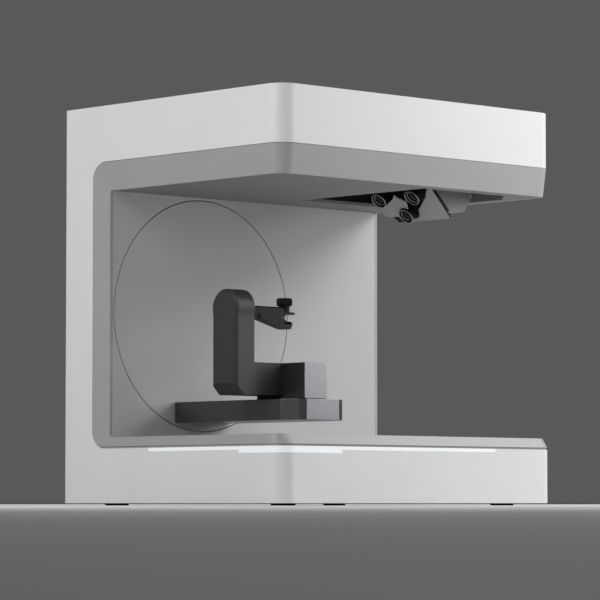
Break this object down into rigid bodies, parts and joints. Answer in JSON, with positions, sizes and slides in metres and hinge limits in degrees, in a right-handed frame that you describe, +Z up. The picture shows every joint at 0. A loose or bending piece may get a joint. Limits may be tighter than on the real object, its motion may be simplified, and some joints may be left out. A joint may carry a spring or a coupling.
{
  "type": "desktop 3d scanner",
  "caption": "C-shaped desktop 3D scanner with a disc-mounted swinging arm, turntable clamp holder and an overhead two-camera projector head.",
  "frame": {"origin": "on the ground plane, under the middle of the housing's width and depth", "axes": "+X to the right of someone facing the front, -Y out of the open front towards them, +Z up"},
  "size_m": [0.34, 0.288, 0.358],
  "materials": {
    "shell": "satin light grey moulding",
    "bezel": "satin mid grey moulding",
    "panel": "satin grey sheet",
    "rear_sheet": "satin light grey powder coat",
    "chassis_sheet": "plain zinc-plated sheet",
    "dark_casting": "satin charcoal paint",
    "black_alloy": "fine black anodised",
    "head_shell": "satin mid grey moulding",
    "head_face": "satin light grey moulding",
    "steel": "ground bright",
    "brass": "machined",
    "rubber": "matt black",
    "diffuser": "opal, lit from behind",
    "glass": "coated",
    "black_plastic": "fine texture",
    "board": "solder mask"
  },
  "bodies": {
    "housing": {"casing": "shell", "bezel": "bezel", "back_panel": "panel", "ceiling_panel": "bezel", "floor_panel": "panel", "rear_cover": "rear_sheet", "bottom_plate": "chassis_sheet", "feet": "rubber", "floor_posts": "steel", "light_bar": "diffuser", "led_board": "board", "chassis_plate": "chassis_sheet", "bearing_block": "dark_casting", "swing_bearing": "steel", "swing_motor": "black_alloy", "head_tray": "head_shell", "head_housing": "head_shell", "head_faceplate": "black_alloy", "head_cheek": "head_face", "lens_bracket": "head_face", "rear_camera": "black_alloy", "front_camera": "black_alloy", "projector": "black_alloy", "lens_glasses": "glass", "main_board": "board", "power_supply": "chassis_sheet", "fan_frame": "black_plastic", "power_inlet": "black_plastic", "data_socket": "steel", "power_switch": "black_plastic", "rear_screws": "steel"},
    "swing": {"swing_disc": "panel", "swing_hub": "steel", "swing_gear": "brass", "shaft_collar": "steel", "swing_arm": "dark_casting", "arm_cover": "dark_casting", "arm_screws": "steel", "turntable_motor": "black_alloy", "turntable_bearing": "steel"},
    "swing_drive": {"swing_pinion": "steel"},
    "turntable": {"turntable_shaft": "steel", "turntable_gear": "brass", "turntable_platter": "black_alloy", "holder_block": "dark_casting", "holder_bracket": "dark_casting", "clamp_body": "black_alloy"},
    "turntable_drive": {"turntable_pinion": "steel"},
    "jaw": {"clamp_jaw": "black_alloy"},
    "screw": {"clamp_screw": "steel", "clamp_knob": "black_alloy"},
    "fan": {"fan_rotor": "black_plastic"},
    "button": {"power_button": "black_plastic"}
  },
  "joints": [
    {"name": "disc_swing", "type": "hinge", "parent": "housing", "child": "swing", "pos_m": [-0.057, 0.0831, 0.173], "axis": [0, 1, 0], "range_deg": [-110, 110]},
    {"name": "swing_drive_turn", "type": "hinge", "parent": "housing", "child": "swing_drive", "pos_m": [0.018, 0.092, 0.173], "axis": [0, 1, 0], "range_deg": [-450, 450]},
    {"name": "turntable_turn", "type": "hinge", "parent": "swing", "child": "turntable", "pos_m": [-0.057, -0.025, 0.094], "axis": [0, 0, 1], "continuous": true},
    {"name": "turntable_drive_turn", "type": "hinge", "parent": "swing", "child": "turntable_drive", "pos_m": [-0.057, -0.001, 0.08], "axis": [0, 0, 1], "continuous": true},
    {"name": "jaw_travel", "type": "slide", "parent": "turntable", "child": "jaw", "axis": [0, 0, 1], "range_m": [-0.0025, 0]},
    {"name": "knob_turn", "type": "hinge", "parent": "jaw", "child": "screw", "pos_m": [-0.0554, -0.025, 0.172], "axis": [0, 0, 1], "range_deg": [-1810, 10]},
    {"name": "fan_spin", "type": "hinge", "parent": "housing", "child": "fan", "pos_m": [0.096, 0.134, 0.2512], "axis": [0, 1, 0], "continuous": true},
    {"name": "button_press", "type": "slide", "parent": "housing", "child": "button", "axis": [0, -1, 0], "range_m": [0, 0.0015], "stiffness_N_per_m": 600, "springref_m": -0.001}
  ],
  "couplings": [
    {"joint": "swing_drive_turn", "follows": "disc_swing", "ratio": -4},
    {"joint": "turntable_drive_turn", "follows": "turntable_turn", "ratio": -2.75},
    {"joint": "knob_turn", "follows": "jaw_travel", "rad_per_m": 12566}
  ]
}
